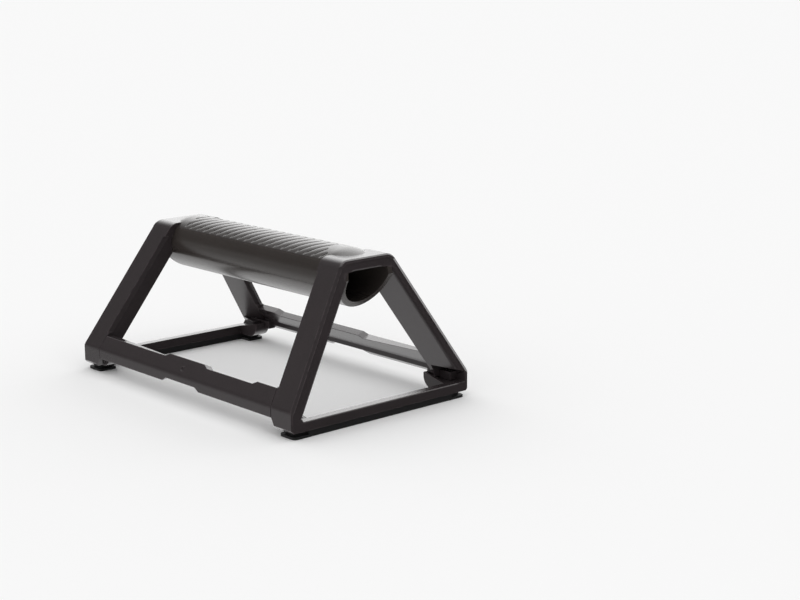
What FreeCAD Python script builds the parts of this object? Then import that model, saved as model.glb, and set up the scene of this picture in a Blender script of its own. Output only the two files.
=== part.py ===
import FreeCAD, Part
import math
import os

from FreeCAD import Vector

# A low parallette bar: two leaning end frames carry a ribbed grip and are tied by two side rails.
# Millimetres. X runs along the grip, Y across it, Z up from the floor, origin under the middle.

# End frames
LENGTH = 230.0  # over both frames, at the bend where the feet end and the lean begins
DEPTH = 147.0  # across the feet
FLAT_TOP = 100.3  # height of the frames' flat top
TOP_WIDTH = 41.2  # across the flat top, to the sharp corners of the leg planes
TOP_LEAN = 14.9  # how far a frame leans in between its bend and its flat top
BEND = 17.7  # height of the bend between foot and leg
BEND_RADIUS = 6.0
FRAME_WIDTH = 20.0  # of a leg, along X
TOP_CORNER = 9.0  # radius where a leg turns into the top bar
EDGE = 0.8  # chamfer along the outer end face's long edges
SEAM_EDGE = 0.3  # and along the inner end face's, where a rail butts against it
LIP = 2.2  # thin edge of a leg's outer face
LIP_STEP = 0.7  # how far that edge stands out from the end face behind it
LIP_DRAFT = 0.2
WINDOW_ROUND = 3.2  # of the opening's edge at the outer end, across the leg
WINDOW_ROLL = 0.9  # and along X
LEG_OUTER = 9.9  # leg thickness at the outer end
LEG_INNER = 14.0  # leg thickness at the inner end
TOP_OUTER = 7.8  # top bar thickness at the outer end
TOP_INNER = 8.0
WINDOW_TOP_CORNER = 2.8  # cut across the opening's upper corners
WINDOW_FOOT_CORNER = 2.5  # and across its lower ones

# Feet, base bar and rubber pads
PAD_HEIGHT = 4.3
TREAD = 1.6  # height of the wide bottom of a pad
TREAD_INSET = 0.6  # from the frame's outline
TREAD_CORNER = 3.0
NECK_INSET = 2.0  # of the narrower upper part of a pad, from the tread
BASE_BAR_HEIGHT = 6.1
BASE_BAR_WIDTH = 6.0
FOOT_DEPTH = 16.5
FOOT_HEIGHT = 10.2
FOOT_REACH = 5.0  # how far the rib inside a foot runs on behind the rail
FOOT_CORNER = 8.0  # lower inner corner of that rib
FOOT_RIB = 1.8
FOOT_WALL = 2.6  # outer wall of the one hollow foot of a frame
FOOT_SKIN = 2.0  # wall of that foot at the inner end
FOOT_CHAMFER = 1.9
FOOT_CUT = 3.6  # along X, of the cut lower inner corner of a foot
HOLLOW_RISE = 3.5  # of the hollow above the bend
STRIP_INSET = 0.8  # of the rubber under the base bar, from the bar's outer face

# Grip
GRIP_RADIUS = 20.0
GRIP_WALL = 3.5
CROWN_RADIUS = 25.7
CROWN_RISE = 3.4  # of the crown above the frames' flat top
CROWN_CUT = 3.2  # how much lower the crown is than the full round of the grip
COVER_THICKNESS = 2.6
DOME_SETBACK = 1.1  # from a frame's inner edge back to the centre of the crown's round end
BORE_DROP = 7.9  # from the flat top down to the flat ceiling of the bore
MOUTH_REACH = 2.4  # of the tube mouth's lowest point, past the frame's inner plane
MOUTH_SLANT = 0.62  # how far the mouth leans out per unit of height
MOUTH_INSET = 1.2  # of the mouth's upper part, from the frame's outer plane
TONGUE_HALF = 8.0
TONGUE_THICKNESS = 3.0
TONGUE_DROP = 1.0  # below the flat top
TONGUE_REACH = 10.0  # past the centre of the crown's round end

# Grooves of the grip's cover
GROOVE_PITCH = 7.7
GROOVE_WIDTH = 1.3
GROOVE_DEPTH = 0.9
GROOVE_STOP = 0.7  # how far short of the cover's edge a groove runs out
GROOVE_SWEEP = 0.82  # how far a groove sweeps back per unit across the crown
GROOVE_FLAT = 2.2  # half the straight stretch at a groove's apex
GROOVE_OVERRUN = 6.0  # how far past the round end's centre the last apex may lie
RIBBED_SETBACK = 6.0  # from the centre of one round end to the start of the ribbed stretch
RIBBED_LEAD = 3.1  # from that start to the first groove's apex
SMOOTH_OFFSET = 4.5  # of the smooth field at the other end, past the centre of its round end
SMOOTH_RADIUS = 14.0

# Side rails
RAIL_RISE = 10.0  # of the raised tabs above the bend
RAIL_DIP = 1.8  # of the edge beside the tabs
RAIL_WALL = 4.5
RAIL_TOE = 1.6  # wall left at the rail's lower edge
RAIL_RAMP = 4.0
MIDDLE_TAB_HALF = 19.0
END_TAB = 21.0  # length of the tab at one end
NOTCH_HALF = 20.0
NOTCH_DEPTH = 2.4
DIMPLE_RADIUS = 1.5
DIMPLE_DEPTH = 0.8
LUG_LENGTH = 12.0
LUG_ROOT = 10.0
LUG_WIDTH = 6.0
LUG_INSET = 2.5  # from the outer face of the foot
LUG_HEIGHT = 5.4

# Screws
SCREW_RADIUS = 1.6
SCREW_HEAD_RADIUS = 3.0
SCREW_HEAD_HEIGHT = 2.2
SCREW_DRIVE_RADIUS = 1.2
SCREW_DRIVE_DEPTH = 1.2
RAIL_SCREW_LENGTH = 8.4
RAIL_SCREW_SINK = 2.9  # of the head's seat, above the underside of the foot
RAIL_SCREW_FROM_END = 4.0  # from the end of the lug
GRIP_SCREW_LENGTH = 8.4
GRIP_SCREW_IN = 4.9  # from a frame's inner edge

# Clearances
SEAM = 0.2  # between a frame and what butts against it
FIT = 0.15  # round a tongue, lug or tube end in its seat
SCREW_PLAY = 0.1

# Worked out from the values above
OUTER_X = LENGTH / 2
INNER_X = OUTER_X - FRAME_WIDTH
TOP_INNER_X = INNER_X - TOP_LEAN
RISE = FLAT_TOP - BEND
LEAN_RISE = math.hypot(TOP_LEAN, RISE)  # bend to flat top, along the leaning end plane
LEAN = TOP_LEAN / RISE
LEG_SLOPE = (DEPTH - TOP_WIDTH) / 2 / RISE
LEG_SPREAD = (DEPTH - TOP_WIDTH) / 2 / LEAN_RISE
BASE_TOP = PAD_HEIGHT + BASE_BAR_HEIGHT
FOOT_TOP = PAD_HEIGHT + FOOT_HEIGHT
CROWN_TOP = FLAT_TOP + CROWN_RISE
CROWN_AXIS = CROWN_TOP - CROWN_RADIUS
GRIP_AXIS = CROWN_TOP + CROWN_CUT - GRIP_RADIUS
GRIP_LOW = GRIP_AXIS - GRIP_RADIUS
AXIS_GAP = GRIP_AXIS - CROWN_AXIS
SHOULDER = (CROWN_RADIUS ** 2 - GRIP_RADIUS ** 2 - AXIS_GAP ** 2) / (2 * AXIS_GAP)
COVER_HALF = math.sqrt(GRIP_RADIUS ** 2 - SHOULDER ** 2)  # where the crown meets the round of the grip
SEAT_RADIUS = CROWN_RADIUS - COVER_THICKNESS
BORE_RADIUS = GRIP_RADIUS - GRIP_WALL
BORE_TOP = FLAT_TOP - BORE_DROP
TENON_TOP = FLAT_TOP - TOP_INNER - FIT
TONGUE_TOP = FLAT_TOP - TONGUE_DROP
DOME_CENTRE = TOP_INNER_X - DOME_SETBACK
MOUTH_LOW_X = INNER_X - (GRIP_LOW - BEND) * LEAN + MOUTH_REACH
GROOVE_REACH = COVER_HALF - GROOVE_STOP
RIBBED_START = RIBBED_SETBACK - DOME_CENTRE
GROOVE_FIRST = RIBBED_START + RIBBED_LEAD
GROOVE_COUNT = 1 + int((DOME_CENTRE + GROOVE_OVERRUN - GROOVE_FIRST) / GROOVE_PITCH)
SMOOTH_CENTRE = DOME_CENTRE + SMOOTH_OFFSET
RAIL_TOP = BEND + RAIL_RISE
RAIL_LOW = RAIL_TOP - RAIL_DIP
RAIL_BOTTOM = BASE_TOP + SEAM
NOTCH_TOP = RAIL_BOTTOM + NOTCH_DEPTH
END_TAB_START = INNER_X - END_TAB
HOLLOW_TOP = BEND + HOLLOW_RISE
FOOT_Y = DEPTH / 2 - FOOT_DEPTH
LUG_TOP = RAIL_BOTTOM + LUG_HEIGHT
LUG_X = INNER_X + LUG_LENGTH - RAIL_SCREW_FROM_END
LUG_Y = DEPTH / 2 - LUG_INSET - LUG_WIDTH / 2
RAIL_SCREW_SEAT = PAD_HEIGHT + RAIL_SCREW_SINK
GRIP_SCREW_SEAT = BORE_TOP
GRIP_SCREW_X = TOP_INNER_X + GRIP_SCREW_IN
PAST = 1.0  # how far a cutting shape runs past the face that it opens
FAR = LENGTH
ABOVE = CROWN_TOP + CROWN_CUT + PAST  # a height above every piece


def rounded_wire(corners, radii, place):
    """Closed wire through flat corners, each rounded by its radius and set in space by place."""
    points = [Vector(a, b, 0) for a, b in corners]
    turns = []
    for index, corner in enumerate(points):
        back = (points[index - 1] - corner).normalize()
        ahead = (points[(index + 1) % len(points)] - corner).normalize()
        half = back.getAngle(ahead) / 2
        reach = radii[index] / math.tan(half)
        middle = (back + ahead).normalize() * (radii[index] / math.sin(half) - radii[index])
        turns.append((corner + back * reach, corner + middle, corner + ahead * reach))
    edges = []
    for index, (start, middle, end) in enumerate(turns):
        if radii[index] > 0:
            edges.append(Part.Arc(place(start), place(middle), place(end)).toShape())
        following = turns[(index + 1) % len(turns)][0]
        edges.append(Part.makeLine(place(end), place(following)))
    return Part.Wire(edges)


def cut_corners(corners, cuts):
    """The outline with each corner replaced by two, its cut away from it along both sides."""
    points = [Vector(a, b, 0) for a, b in corners]
    outline = []
    for index, corner in enumerate(points):
        for near in (points[index - 1], points[(index + 1) % len(points)]):
            place = corner + (near - corner).normalize() * cuts[index]
            outline.append((place.x, place.y))
    return outline


def prism(corners, radii, place, sweep):
    """Solid swept straight from a rounded outline."""
    return Part.Face(rounded_wire(corners, radii, place)).extrude(sweep)


def side_prism(corners, low_y, high_y, radii=None):
    """Solid with an outline of (x, z) corners, between two places across the bar."""
    return prism(
        corners,
        radii or [0] * len(corners),
        lambda p: Vector(p.x, low_y, p.y),
        Vector(0, high_y - low_y, 0),
    )


def plan_prism(corners, low_z, high_z, radii=None):
    """Solid with an outline of (x, y) corners, between two heights."""
    return prism(
        corners,
        radii or [0] * len(corners),
        lambda p: Vector(p.x, p.y, low_z),
        Vector(0, 0, high_z - low_z),
    )


def block(low, high):
    """Box between two opposite corners."""
    return Part.makeBox(high[0] - low[0], high[1] - low[1], high[2] - low[2], Vector(*low))


def rod(radius, axis_z, half_length):
    """Cylinder along X, centred on the bar."""
    return Part.makeCylinder(radius, 2 * half_length, Vector(-half_length, 0, axis_z), Vector(1, 0, 0))


def pin(radius, x, y, low_z, high_z):
    """Upright cylinder."""
    return Part.makeCylinder(radius, high_z - low_z, Vector(x, y, low_z))


def turned(shape):
    """The same piece at the other end of the bar."""
    copy = shape.copy()
    copy.rotate(Vector(0, 0, 0), Vector(0, 0, 1), 180)
    return copy


def inner_plane_x(z):
    """X of the frames' inner end plane at a height above the bend."""
    return INNER_X - (z - BEND) * LEAN


def leg_half(rise, thickness):
    """Half-width inside a leg of the given thickness, at a rise up the leaning end plane."""
    return DEPTH / 2 - rise * LEG_SPREAD - thickness * math.hypot(1, LEG_SPREAD)


def lean_place(inset):
    """Places a flat (y, rise) point in the leaning end plane, inset from the outer end."""
    lean_sine = TOP_LEAN / LEAN_RISE
    lean_cosine = RISE / LEAN_RISE
    return lambda p: Vector(OUTER_X - inset - p.y * lean_sine, p.x, BEND + p.y * lean_cosine)


def window_wire(inset, leg, top, drop):
    """Outline of the opening between the legs, at an inset from the outer end, with its sill let down."""
    low = (BASE_TOP - drop - BEND) * LEAN_RISE / RISE
    high = LEAN_RISE - top
    corners = [
        (-leg_half(low, leg), low),
        (leg_half(low, leg), low),
        (leg_half(high, leg), high),
        (-leg_half(high, leg), high),
    ]
    cuts = [WINDOW_FOOT_CORNER, WINDOW_FOOT_CORNER, WINDOW_TOP_CORNER, WINDOW_TOP_CORNER]
    outline = cut_corners(corners, cuts)
    return rounded_wire(outline, [0] * len(outline), lean_place(inset))


def window():
    """The opening of an end frame: a lip at the outer end, a rolled edge, and legs that thicken inwards."""
    face = LIP_STEP + LIP_DRAFT
    early = 1 - math.sqrt(0.5)
    middle = WINDOW_ROUND * early
    stations = [
        (-PAST, LIP, LIP, WINDOW_ROUND),
        (LIP_STEP, LIP, LIP, WINDOW_ROUND),
        (face, LEG_OUTER - WINDOW_ROUND, TOP_OUTER - WINDOW_ROUND, WINDOW_ROUND),
        (face + WINDOW_ROLL * early, LEG_OUTER - middle, TOP_OUTER - middle, middle),
        (face + WINDOW_ROLL, LEG_OUTER, TOP_OUTER, 0),
        (FRAME_WIDTH + PAST, LEG_INNER, TOP_INNER, 0),
    ]
    return Part.makeLoft([window_wire(*station) for station in stations], True, True)


def frame_body():
    """The +X end frame before its openings: its view along the bar crossed with its view across it."""
    half_foot = DEPTH / 2
    half_top = TOP_WIDTH / 2
    along = [
        (-half_foot + FOOT_CHAMFER, PAD_HEIGHT),
        (half_foot - FOOT_CHAMFER, PAD_HEIGHT),
        (half_foot, PAD_HEIGHT + FOOT_CHAMFER),
        (half_foot, BEND),
        (half_top, FLAT_TOP),
        (-half_top, FLAT_TOP),
        (-half_foot, BEND),
        (-half_foot, PAD_HEIGHT + FOOT_CHAMFER),
    ]
    along_radii = [0, 0, 0, BEND_RADIUS, TOP_CORNER, TOP_CORNER, BEND_RADIUS, 0]
    across = [
        (INNER_X + FOOT_CUT, PAD_HEIGHT),
        (OUTER_X, PAD_HEIGHT),
        (OUTER_X, BEND),
        (OUTER_X - TOP_LEAN, FLAT_TOP),
        (TOP_INNER_X, FLAT_TOP),
        (INNER_X, BEND),
        (INNER_X, BASE_TOP),
    ]
    across_radii = [FOOT_CHAMFER, 0, BEND_RADIUS, 0, 0, BEND_RADIUS, FOOT_CHAMFER]
    slab = prism(along, along_radii, lambda p: Vector(0, p.x, p.y), Vector(LENGTH, 0, 0))
    body = slab.common(side_prism(across, -DEPTH, DEPTH, across_radii))
    body = body.makeChamfer(EDGE, rims(body, 1))
    return body.makeChamfer(SEAM_EDGE, rims(body, -1))


def rims(body, end):
    """The edges above the feet that part the outer (1) or inner (-1) end face from the frame's outside."""
    found = []
    for edge in body.Edges:
        facing = []
        for face in body.ancestorsOfType(edge, Part.Face):
            low_u, high_u, low_v, high_v = face.ParameterRange
            facing.append(end * face.normalAt((low_u + high_u) / 2, (low_v + high_v) / 2).x > 0.9)
        if edge.BoundBox.ZMin > PAD_HEIGHT + FOOT_CHAMFER / 2 and sorted(facing) == [False, True]:
            found.append(edge)
    return found


def foot_rib(side):
    """Floor of a hollow foot with the rib along it, which slopes down to the base bar."""
    start_x = INNER_X - FOOT_REACH
    end_x = OUTER_X - BASE_BAR_WIDTH
    corners = [(start_x, FOOT_TOP), (start_x, PAD_HEIGHT), (end_x, PAD_HEIGHT), (end_x, BASE_TOP)]
    low, high = sorted((side * FOOT_Y, side * (DEPTH / 2 - RAIL_WALL - FIT)))
    floor = side_prism(corners, low, high, [0, FOOT_CORNER, 0, 0])
    low, high = sorted((side * (FOOT_Y + FOOT_RIB), side * DEPTH / 2))
    return floor.cut(block((start_x + FOOT_RIB, low, BASE_TOP), (OUTER_X, high, FOOT_TOP)))


def foot_hollow():
    """The hollow in the lower end of the rear leg, open inwards and at the outer end."""
    wall = DEPTH / 2 - FOOT_WALL
    inside = leg_half((HOLLOW_TOP - BEND) * LEAN_RISE / RISE, LEG_INNER) - PAST
    corners = [(inside, BASE_TOP), (wall, BASE_TOP), (wall, BEND), (inside, HOLLOW_TOP)]
    start_x = INNER_X + FOOT_SKIN
    return prism(corners, [0] * 4, lambda p: Vector(start_x, p.x, p.y), Vector(FRAME_WIDTH, 0, 0))


def slanted_span(margin):
    """The stretch of the grip between its two mouths, longer by margin at each end.

    A mouth slants out with its height until it nears the frame's outer plane, which it then follows.
    """
    low = GRIP_LOW - PAST
    high = CROWN_TOP
    foot_x = MOUTH_LOW_X - PAST * MOUTH_SLANT + margin
    limit_x = OUTER_X - MOUTH_INSET + margin
    kink = (limit_x - foot_x - (low - BEND) * LEAN) / (MOUTH_SLANT + LEAN)
    kink_x = foot_x + kink * MOUTH_SLANT
    head_x = limit_x - (high - BEND) * LEAN
    half = [(foot_x, low), (kink_x, low + kink), (head_x, high)]
    corners = half + [(-x, z) for x, z in reversed(half)]
    return side_prism(corners, -DEPTH / 2, DEPTH / 2)


def below(z):
    """Everything on the bar below a height."""
    return block((-FAR, -DEPTH, -PAST), (FAR, DEPTH, z))


def tongue_outline(low_z, high_z, start_x, margin):
    """Round-ended tab of the grip that lies in the top bar, grown by margin all round."""
    half = TONGUE_HALF + margin
    end_x = DOME_CENTRE + TONGUE_REACH + margin
    corners = [(start_x, -half), (end_x, -half), (end_x, half), (start_x, half)]
    round_end = 0.99 * half
    return plan_prism(corners, low_z, high_z, [0, round_end, round_end, 0])


def lug(side, margin):
    """End lug of a rail, grown by margin all round, at the +X end."""
    low = (INNER_X - LUG_ROOT, side * LUG_Y - LUG_WIDTH / 2 - margin, RAIL_BOTTOM - margin)
    high = (INNER_X + LUG_LENGTH + margin, side * LUG_Y + LUG_WIDTH / 2 + margin, LUG_TOP + margin)
    return block(low, high)


def end_frame():
    """The +X end frame: legs, top bar, feet and base bar in one moulding."""
    under = block((0, -FOOT_Y, 0), (OUTER_X - BASE_BAR_WIDTH, FOOT_Y, FOOT_TOP))
    openings = [window(), under, foot_hollow()]
    body = frame_body().cut(openings).fuse([foot_rib(-1), foot_rib(1)])
    bore = rod(BORE_RADIUS, GRIP_AXIS, FAR).common(below(BORE_TOP))
    seat = rod(GRIP_RADIUS + FIT, GRIP_AXIS, FAR).common(below(TENON_TOP + FIT)).common(slanted_span(FIT))
    tongue_floor = TONGUE_TOP - TONGUE_THICKNESS - FIT
    cuts = [bore, seat, tongue_outline(tongue_floor, FLAT_TOP + PAST, 0, FIT)]
    cuts += grip_screw_holes(FLAT_TOP)
    screw_top = RAIL_SCREW_SEAT + RAIL_SCREW_LENGTH + SCREW_PLAY
    for y in (-LUG_Y, LUG_Y):
        cuts.append(lug(math.copysign(1, y), FIT))
        cuts.append(pin(SCREW_RADIUS + SCREW_PLAY, LUG_X, y, PAD_HEIGHT - PAST, screw_top))
        cuts.append(pin(SCREW_HEAD_RADIUS + FIT, LUG_X, y, PAD_HEIGHT - PAST, RAIL_SCREW_SEAT))
    return body.cut(cuts).removeSplitter()


def foot_pad(side, inset, low_z, high_z):
    """One layer of the +X pad under a foot, inset from the foot's outline."""
    near_x = INNER_X + FOOT_CUT + inset
    far_x = OUTER_X - inset
    near_y = side * (FOOT_Y + inset)
    far_y = side * (DEPTH / 2 - FOOT_CHAMFER - inset)
    corners = [(near_x, near_y), (far_x, near_y), (far_x, far_y), (near_x, far_y)]
    return plan_prism(corners, low_z, high_z, [TREAD_CORNER / 2, 0, TREAD_CORNER, TREAD_CORNER])


def base_pad():
    """Rubber under the +X frame: a strip along the base bar and, under each foot, a tread below a neck."""
    strip_x = OUTER_X - STRIP_INSET
    strip_y = FOOT_Y + TREAD_CORNER
    pad = block((OUTER_X - BASE_BAR_WIDTH, -strip_y, 0), (strip_x, strip_y, PAD_HEIGHT))
    for side in (-1, 1):
        pad = pad.fuse(foot_pad(side, TREAD_INSET, 0, TREAD))
        pad = pad.fuse(foot_pad(side, TREAD_INSET + NECK_INSET, TREAD, PAD_HEIGHT))
    return pad.removeSplitter()


def beyond_frames(low_z, high_z):
    """Both ends of the bar past the frames' inner end planes, between two heights."""
    corners = [
        (inner_plane_x(low_z) - SEAM, low_z),
        (FAR, low_z),
        (FAR, high_z),
        (inner_plane_x(high_z) - SEAM, high_z),
    ]
    space = side_prism(corners, -DEPTH / 2, DEPTH / 2)
    return [space, turned(space)]


def grip_screw_holes(top_z):
    """Holes of the two grip screws, up to a height."""
    radius = SCREW_RADIUS + SCREW_PLAY
    return [pin(radius, x, 0, GRIP_SCREW_SEAT - PAST, top_z) for x in (-GRIP_SCREW_X, GRIP_SCREW_X)]


def cover_seat():
    """The rounded bed between the frames that the cover lies on."""
    return rod(SEAT_RADIUS, CROWN_AXIS, FAR).cut(beyond_frames(GRIP_AXIS, ABOVE))


def grip_core():
    """Hollow grip tube: a round underside, a seat for the cover, slanting mouths and two tongues."""
    tube = rod(GRIP_RADIUS, GRIP_AXIS, FAR).common(slanted_span(0))
    tube = tube.cut(beyond_frames(TENON_TOP, ABOVE))
    tongue = tongue_outline(TONGUE_TOP - TONGUE_THICKNESS, TONGUE_TOP, DOME_CENTRE - 2 * TONGUE_HALF, 0)
    above_seat = block((-FAR, -COVER_HALF, GRIP_AXIS), (FAR, COVER_HALF, ABOVE))
    above_seat = above_seat.cut([cover_seat()] + beyond_frames(GRIP_AXIS - PAST, ABOVE + PAST))
    bore = rod(BORE_RADIUS, GRIP_AXIS, FAR).common(below(BORE_TOP))
    tube = tube.fuse([tongue, turned(tongue)])
    return tube.cut([above_seat, bore] + grip_screw_holes(TONGUE_TOP + PAST)).removeSplitter()


def groove(apex_x):
    """Cutter of one swept groove, which runs out towards both sides of the crown."""
    side_x = apex_x - GROOVE_SWEEP * (COVER_HALF - GROOVE_FLAT)
    line = [
        (side_x, -COVER_HALF),
        (apex_x, -GROOVE_FLAT),
        (apex_x, GROOVE_FLAT),
        (side_x, COVER_HALF),
    ]
    half = GROOVE_WIDTH / 2
    corners = [(x + half, y) for x, y in line] + [(x - half, y) for x, y in reversed(line)]
    return plan_prism(corners, CROWN_AXIS, CROWN_TOP + PAST)


def groove_floor():
    """What stays under the grooves: a flatter rod that meets the crown where the grooves run out."""
    run_out = CROWN_RADIUS - math.sqrt(CROWN_RADIUS ** 2 - GROOVE_REACH ** 2)
    sag = run_out - GROOVE_DEPTH
    radius = (GROOVE_REACH ** 2 + sag ** 2) / (2 * sag)
    return rod(radius, CROWN_TOP - GROOVE_DEPTH - radius, FAR)


def grip_cover():
    """Ribbed crown with smooth round ends that lap over the frames' top bars."""
    crown = rod(CROWN_RADIUS, CROWN_AXIS, DOME_CENTRE)
    for x in (-DOME_CENTRE, DOME_CENTRE):
        crown = crown.fuse(Part.makeSphere(CROWN_RADIUS, Vector(x, 0, CROWN_AXIS)))
    width = block((-FAR, -COVER_HALF, GRIP_AXIS), (FAR, COVER_HALF, CROWN_TOP + PAST))
    cover = crown.common(width).cut([cover_seat()] + beyond_frames(GRIP_AXIS - PAST, FLAT_TOP))
    key = tongue_outline(TONGUE_TOP, FLAT_TOP + PAST / 2, inner_plane_x(TONGUE_TOP), 0)
    cover = cover.fuse([key, turned(key)])
    ribbed = block((RIBBED_START, -COVER_HALF, CROWN_AXIS), (DOME_CENTRE, COVER_HALF, CROWN_TOP + PAST))
    smooth = pin(SMOOTH_RADIUS, SMOOTH_CENTRE, 0, CROWN_AXIS, CROWN_TOP + PAST)
    ribbed = ribbed.cut([groove_floor(), smooth])
    apexes = [GROOVE_FIRST + index * GROOVE_PITCH for index in range(GROOVE_COUNT)]
    grooves = [groove(apex).common(ribbed) for apex in apexes]
    tip = GRIP_SCREW_SEAT + GRIP_SCREW_LENGTH + SCREW_PLAY
    return cover.cut(grooves + grip_screw_holes(tip)).removeSplitter()


def front_rail():
    """Angle-section rail with two raised tabs, a notch, a centre dimple and a lug at each end."""
    edge = DEPTH / 2
    slope_wall = RAIL_WALL * math.hypot(1, LEG_SLOPE)
    top_y = edge - (RAIL_TOP - BEND) * LEG_SLOPE
    inner_bend = BEND + (RAIL_WALL - slope_wall) / LEG_SLOPE
    corners = [
        (-edge, RAIL_BOTTOM),
        (-edge, BEND),
        (-top_y, RAIL_TOP),
        (slope_wall - top_y, RAIL_TOP),
        (RAIL_WALL - edge, inner_bend),
        (RAIL_WALL - edge, NOTCH_TOP),
        (RAIL_TOE - edge, RAIL_BOTTOM),
    ]
    radii = [0, BEND_RADIUS, 0, 0, 0, 0, 0]
    angle = prism(corners, radii, lambda p: Vector(-FAR, p.x, p.y), Vector(2 * FAR, 0, 0))
    end_low = INNER_X - SEAM
    end_high = inner_plane_x(RAIL_TOP) - SEAM
    ends = [
        (-end_low, RAIL_BOTTOM),
        (end_low, RAIL_BOTTOM),
        (end_low, BEND),
        (end_high, RAIL_TOP),
        (-end_high, RAIL_TOP),
        (-end_low, BEND),
    ]
    rail = angle.common(side_prism(ends, -DEPTH, DEPTH))
    dip = [
        (MIDDLE_TAB_HALF, RAIL_TOP + PAST),
        (MIDDLE_TAB_HALF, RAIL_TOP),
        (MIDDLE_TAB_HALF + RAIL_RAMP, RAIL_LOW),
        (END_TAB_START - RAIL_RAMP, RAIL_LOW),
        (END_TAB_START, RAIL_TOP),
        (END_TAB_START, RAIL_TOP + PAST),
    ]
    long_dip = [
        (-MIDDLE_TAB_HALF, RAIL_TOP + PAST),
        (-MIDDLE_TAB_HALF, RAIL_TOP),
        (-MIDDLE_TAB_HALF - RAIL_RAMP, RAIL_LOW),
        (-FAR, RAIL_LOW),
        (-FAR, RAIL_TOP + PAST),
    ]
    notch = [
        (-NOTCH_HALF, RAIL_BOTTOM - PAST),
        (-NOTCH_HALF, RAIL_BOTTOM),
        (-NOTCH_HALF + RAIL_RAMP, NOTCH_TOP),
        (NOTCH_HALF - RAIL_RAMP, NOTCH_TOP),
        (NOTCH_HALF, RAIL_BOTTOM),
        (NOTCH_HALF, RAIL_BOTTOM - PAST),
    ]
    cuts = [side_prism(outline, -DEPTH, DEPTH) for outline in (dip, long_dip, notch)]
    dimple_z = (BEND + RAIL_LOW) / 2
    face = Vector(0, (dimple_z - BEND) * LEG_SLOPE - edge, dimple_z)
    inward = Vector(0, 1, -LEG_SLOPE).normalize()
    dimple = Part.makeCylinder(DIMPLE_RADIUS, DIMPLE_DEPTH, face, inward)
    rail = rail.cut(cuts + [dimple])
    lugs = [lug(-1, 0), turned(lug(1, 0))]
    holes = [
        pin(SCREW_RADIUS + SCREW_PLAY, x, -LUG_Y, RAIL_BOTTOM - PAST, LUG_TOP + PAST)
        for x in (-LUG_X, LUG_X)
    ]
    return rail.fuse(lugs).cut(holes).removeSplitter()


def screw(x, y, seat_z, length):
    """Flat-head screw driven upwards, its head under seat_z, with a hexagon drive."""
    low = seat_z - SCREW_HEAD_HEIGHT
    head = pin(SCREW_HEAD_RADIUS, x, y, low, seat_z)
    shank = pin(SCREW_RADIUS, x, y, seat_z, seat_z + length)
    turns = [math.pi / 3 * step for step in range(6)]
    hexagon = [(x + SCREW_DRIVE_RADIUS * math.cos(t), y + SCREW_DRIVE_RADIUS * math.sin(t)) for t in turns]
    drive = plan_prism(hexagon, low - PAST, low + SCREW_DRIVE_DEPTH)
    return head.fuse(shank).cut(drive).removeSplitter()


def screw_group(places, seat_z, length):
    """Alike screws at (x, y) places, as one group."""
    return Part.makeCompound([screw(x, y, seat_z, length) for x, y in places])


right_frame = end_frame()
right_pad = base_pad()
rail = front_rail()
grip_screw_places = [(-GRIP_SCREW_X, 0), (GRIP_SCREW_X, 0)]
rail_screw_places = [(x, y) for x in (-LUG_X, LUG_X) for y in (-LUG_Y, LUG_Y)]
PIECES = {
    "end_frame_right": right_frame,
    "end_frame_left": turned(right_frame),
    "grip_core": grip_core(),
    "grip_cover": grip_cover(),
    "front_rail": rail,
    "rear_rail": turned(rail),
    "right_base_pad": right_pad,
    "left_base_pad": turned(right_pad),
    "grip_screws": screw_group(grip_screw_places, GRIP_SCREW_SEAT, GRIP_SCREW_LENGTH),
    "rail_screws": screw_group(rail_screw_places, RAIL_SCREW_SEAT, RAIL_SCREW_LENGTH),
}

os.makedirs("parts", exist_ok=True)
for name, shape in PIECES.items():
    shape.exportStep(f"parts/{name}.step")
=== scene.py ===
import logging
import math
from dataclasses import dataclass
from enum import Enum
from typing import Any, Sequence

import bmesh
import bpy
from mathutils import Matrix, Vector


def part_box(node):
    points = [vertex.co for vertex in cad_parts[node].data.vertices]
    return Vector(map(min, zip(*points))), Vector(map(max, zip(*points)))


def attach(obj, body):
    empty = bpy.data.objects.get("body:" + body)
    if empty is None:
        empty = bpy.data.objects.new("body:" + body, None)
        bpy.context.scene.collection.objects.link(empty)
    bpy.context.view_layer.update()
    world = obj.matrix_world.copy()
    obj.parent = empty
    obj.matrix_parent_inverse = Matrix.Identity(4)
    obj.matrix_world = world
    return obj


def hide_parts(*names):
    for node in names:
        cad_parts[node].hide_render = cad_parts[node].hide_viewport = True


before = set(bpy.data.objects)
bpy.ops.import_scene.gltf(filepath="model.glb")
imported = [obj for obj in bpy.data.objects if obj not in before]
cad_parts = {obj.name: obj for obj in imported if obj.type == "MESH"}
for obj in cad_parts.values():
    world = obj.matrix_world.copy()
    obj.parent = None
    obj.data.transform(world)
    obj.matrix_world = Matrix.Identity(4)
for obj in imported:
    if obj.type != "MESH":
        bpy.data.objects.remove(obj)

log = logging.getLogger("parallette")

MM = 0.001
ROOT = "root"
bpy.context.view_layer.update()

Colour = tuple[float, float, float]
Point = tuple[float, float, float]
Span = tuple[float, float]
FlatPoints = tuple[tuple[float, float], ...]

NOISE_MIDDLE = 0.5
BEND_Z = 17.7  # mm, height of the bend between a foot and its leg
HALF_DEPTH = 73.5  # mm, from the middle to the outer face of a foot


class Slot(Enum):
    """The material slots."""

    FRAME = "frame_plastic"
    GRIP = "grip_plastic"
    COVER = "cover_plastic"
    RAIL = "rail_plastic"
    PAD = "pad_rubber"
    SCREW = "screw_steel"


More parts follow.
